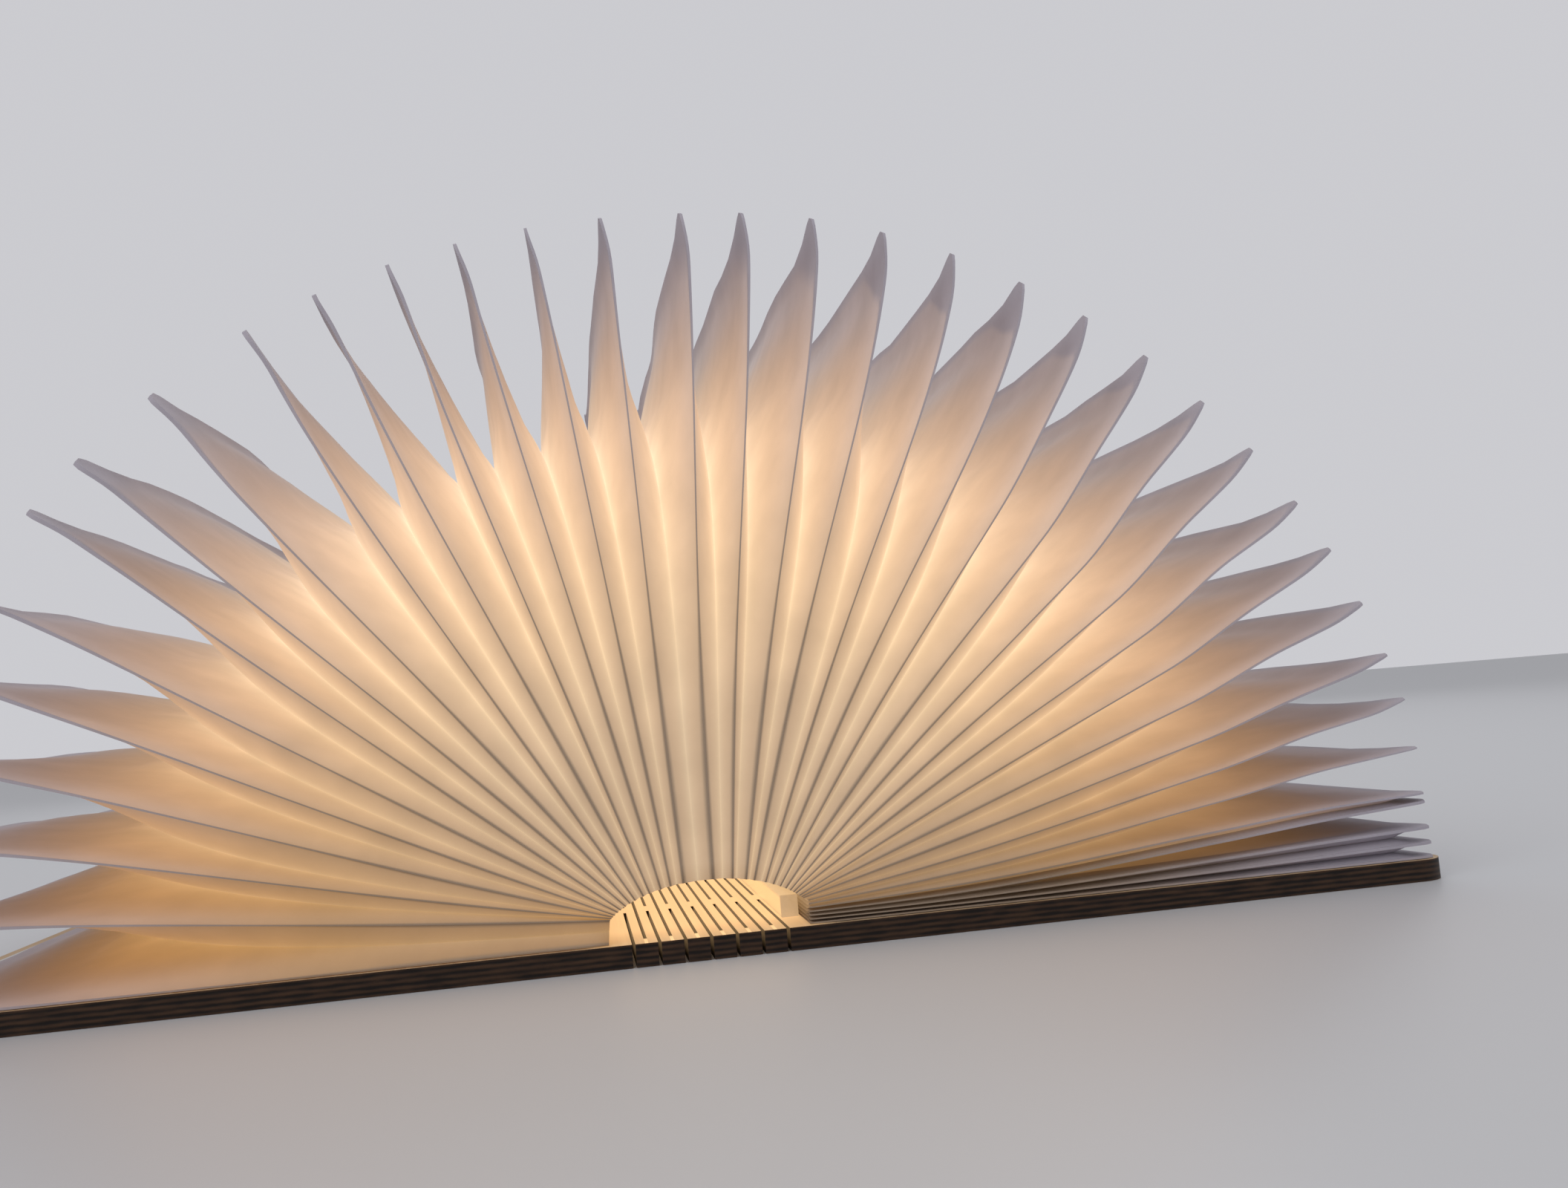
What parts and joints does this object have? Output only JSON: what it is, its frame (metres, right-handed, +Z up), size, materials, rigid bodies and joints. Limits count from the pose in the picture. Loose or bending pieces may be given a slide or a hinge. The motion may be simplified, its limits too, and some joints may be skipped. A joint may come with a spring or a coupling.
{
  "type": "folding book lamp",
  "caption": "Folding lamp shaped like an open book: plywood covers joined by a slit-cut flexible spine, a fan of closed paper pockets and a slim light bar.",
  "frame": {"origin": "under the middle of the spine, on the surface the open book lies on, midway between its front and back edges", "axes": "+X across the open book towards the cover with the light bar and the charging socket, +Y from the front edge to the back edge, +Z up"},
  "size_m": [0.357, 0.215, 0.1694],
  "materials": {
    "maple_plywood": "satin",
    "laser_cut_wood": "matte",
    "page_paper": "matte",
    "bonding_film": "matte",
    "white_aluminium": "satin",
    "white_plastic": "satin",
    "lit_lens": "frosted",
    "strip_board": "satin",
    "led_phosphor": "satin",
    "battery_foil": "satin",
    "green_board": "satin",
    "socket_steel": "satin",
    "black_plastic": "matte",
    "magnet_nickel": "polished",
    "red_wire": "satin"
  },
  "bodies": {
    "left_cover": {"left_cover": "maple_plywood", "tape_left": "bonding_film", "magnets_left": "magnet_nickel", "sensor_magnet": "magnet_nickel", "pages_00": "page_paper"},
    "slat_01": {"slat_01": "maple_plywood", "bridges_01": "laser_cut_wood", "pages_01": "page_paper"},
    "slat_02": {"slat_02": "maple_plywood", "bridges_02": "laser_cut_wood", "pages_02": "page_paper"},
    "slat_03": {"slat_03": "maple_plywood", "bridges_03": "laser_cut_wood", "pages_03": "page_paper"},
    "slat_04": {"slat_04": "maple_plywood", "bridges_04": "laser_cut_wood", "pages_04": "page_paper"},
    "slat_05": {"slat_05": "maple_plywood", "bridges_05": "laser_cut_wood", "pages_05": "page_paper"},
    "slat_06": {"slat_06": "maple_plywood", "bridges_06": "laser_cut_wood", "pages_06": "page_paper"},
    "slat_07": {"slat_07": "maple_plywood", "bridges_07": "laser_cut_wood", "pages_07": "page_paper"},
    "slat_08": {"slat_08": "maple_plywood", "bridges_08": "laser_cut_wood", "pages_08": "page_paper"},
    "slat_09": {"slat_09": "maple_plywood", "bridges_09": "laser_cut_wood", "pages_09": "page_paper"},
    "slat_10": {"slat_10": "maple_plywood", "bridges_10": "laser_cut_wood", "pages_10": "page_paper"},
    "slat_11": {"slat_11": "maple_plywood", "bridges_11": "laser_cut_wood", "pages_11": "page_paper"},
    "slat_12": {"slat_12": "maple_plywood", "bridges_12": "laser_cut_wood", "pages_12": "page_paper"},
    "right_cover": {"right_cover": "maple_plywood", "bridges_13": "laser_cut_wood", "pages_13": "page_paper", "tape_right": "bonding_film", "magnets_right": "magnet_nickel", "bar_tape": "bonding_film", "bar_channel": "white_aluminium", "bar_lens": "lit_lens", "bar_end_caps": "white_plastic", "led_strip": "strip_board", "led_chips": "led_phosphor", "battery": "battery_foil", "charge_board": "green_board", "usb_socket": "socket_steel", "hall_sensor": "black_plastic", "wires": "red_wire"}
  },
  "joints": [
    {"name": "fold_01", "type": "hinge", "parent": "left_cover", "child": "slat_01", "pos_m": [-0.01704, 0, 0.0025], "axis": [0, -1, 0], "range_deg": [-13.85, 13.85], "deforming": ["bridges_01", "pages_01", "pages_00"]},
    {"name": "fold_02", "type": "hinge", "parent": "slat_01", "child": "slat_02", "pos_m": [-0.0142, 0, 0.0025], "axis": [0, -1, 0], "range_deg": [-13.85, 13.85], "deforming": ["bridges_02", "pages_02"]},
    {"name": "fold_03", "type": "hinge", "parent": "slat_02", "child": "slat_03", "pos_m": [-0.01136, 0, 0.0025], "axis": [0, -1, 0], "range_deg": [-13.85, 13.85], "deforming": ["bridges_03", "pages_03"]},
    {"name": "fold_04", "type": "hinge", "parent": "slat_03", "child": "slat_04", "pos_m": [-0.00852, 0, 0.0025], "axis": [0, -1, 0], "range_deg": [-13.85, 13.85], "deforming": ["bridges_04", "pages_04"]},
    {"name": "fold_05", "type": "hinge", "parent": "slat_04", "child": "slat_05", "pos_m": [-0.00568, 0, 0.0025], "axis": [0, -1, 0], "range_deg": [-13.85, 13.85], "deforming": ["bridges_05", "pages_05"]},
    {"name": "fold_06", "type": "hinge", "parent": "slat_05", "child": "slat_06", "pos_m": [-0.00284, 0, 0.0025], "axis": [0, -1, 0], "range_deg": [-13.85, 13.85], "deforming": ["bridges_06", "pages_06"]},
    {"name": "fold_07", "type": "hinge", "parent": "slat_06", "child": "slat_07", "pos_m": [0, 0, 0.0025], "axis": [0, -1, 0], "range_deg": [-13.85, 13.85], "deforming": ["bridges_07", "pages_07"]},
    {"name": "fold_08", "type": "hinge", "parent": "slat_07", "child": "slat_08", "pos_m": [0.00284, 0, 0.0025], "axis": [0, -1, 0], "range_deg": [-13.85, 13.85], "deforming": ["bridges_08", "pages_08"]},
    {"name": "fold_09", "type": "hinge", "parent": "slat_08", "child": "slat_09", "pos_m": [0.00568, 0, 0.0025], "axis": [0, -1, 0], "range_deg": [-13.85, 13.85], "deforming": ["bridges_09", "pages_09"]},
    {"name": "fold_10", "type": "hinge", "parent": "slat_09", "child": "slat_10", "pos_m": [0.00852, 0, 0.0025], "axis": [0, -1, 0], "range_deg": [-13.85, 13.85], "deforming": ["bridges_10", "pages_10"]},
    {"name": "fold_11", "type": "hinge", "parent": "slat_10", "child": "slat_11", "pos_m": [0.01136, 0, 0.0025], "axis": [0, -1, 0], "range_deg": [-13.85, 13.85], "deforming": ["bridges_11", "pages_11"]},
    {"name": "fold_12", "type": "hinge", "parent": "slat_11", "child": "slat_12", "pos_m": [0.0142, 0, 0.0025], "axis": [0, -1, 0], "range_deg": [-13.85, 13.85], "deforming": ["bridges_12", "pages_12"]},
    {"name": "fold_13", "type": "hinge", "parent": "slat_12", "child": "right_cover", "pos_m": [0.01704, 0, 0.0025], "axis": [0, -1, 0], "range_deg": [-13.85, 13.85], "deforming": ["bridges_13", "pages_13"]}
  ],
  "couplings": [
    {"joint": "fold_02", "follows": "fold_01", "ratio": 1},
    {"joint": "fold_03", "follows": "fold_01", "ratio": 1},
    {"joint": "fold_04", "follows": "fold_01", "ratio": 1},
    {"joint": "fold_05", "follows": "fold_01", "ratio": 1},
    {"joint": "fold_06", "follows": "fold_01", "ratio": 1},
    {"joint": "fold_07", "follows": "fold_01", "ratio": 1},
    {"joint": "fold_08", "follows": "fold_01", "ratio": 1},
    {"joint": "fold_09", "follows": "fold_01", "ratio": 1},
    {"joint": "fold_10", "follows": "fold_01", "ratio": 1},
    {"joint": "fold_11", "follows": "fold_01", "ratio": 1},
    {"joint": "fold_12", "follows": "fold_01", "ratio": 1},
    {"joint": "fold_13", "follows": "fold_01", "ratio": 1}
  ]
}
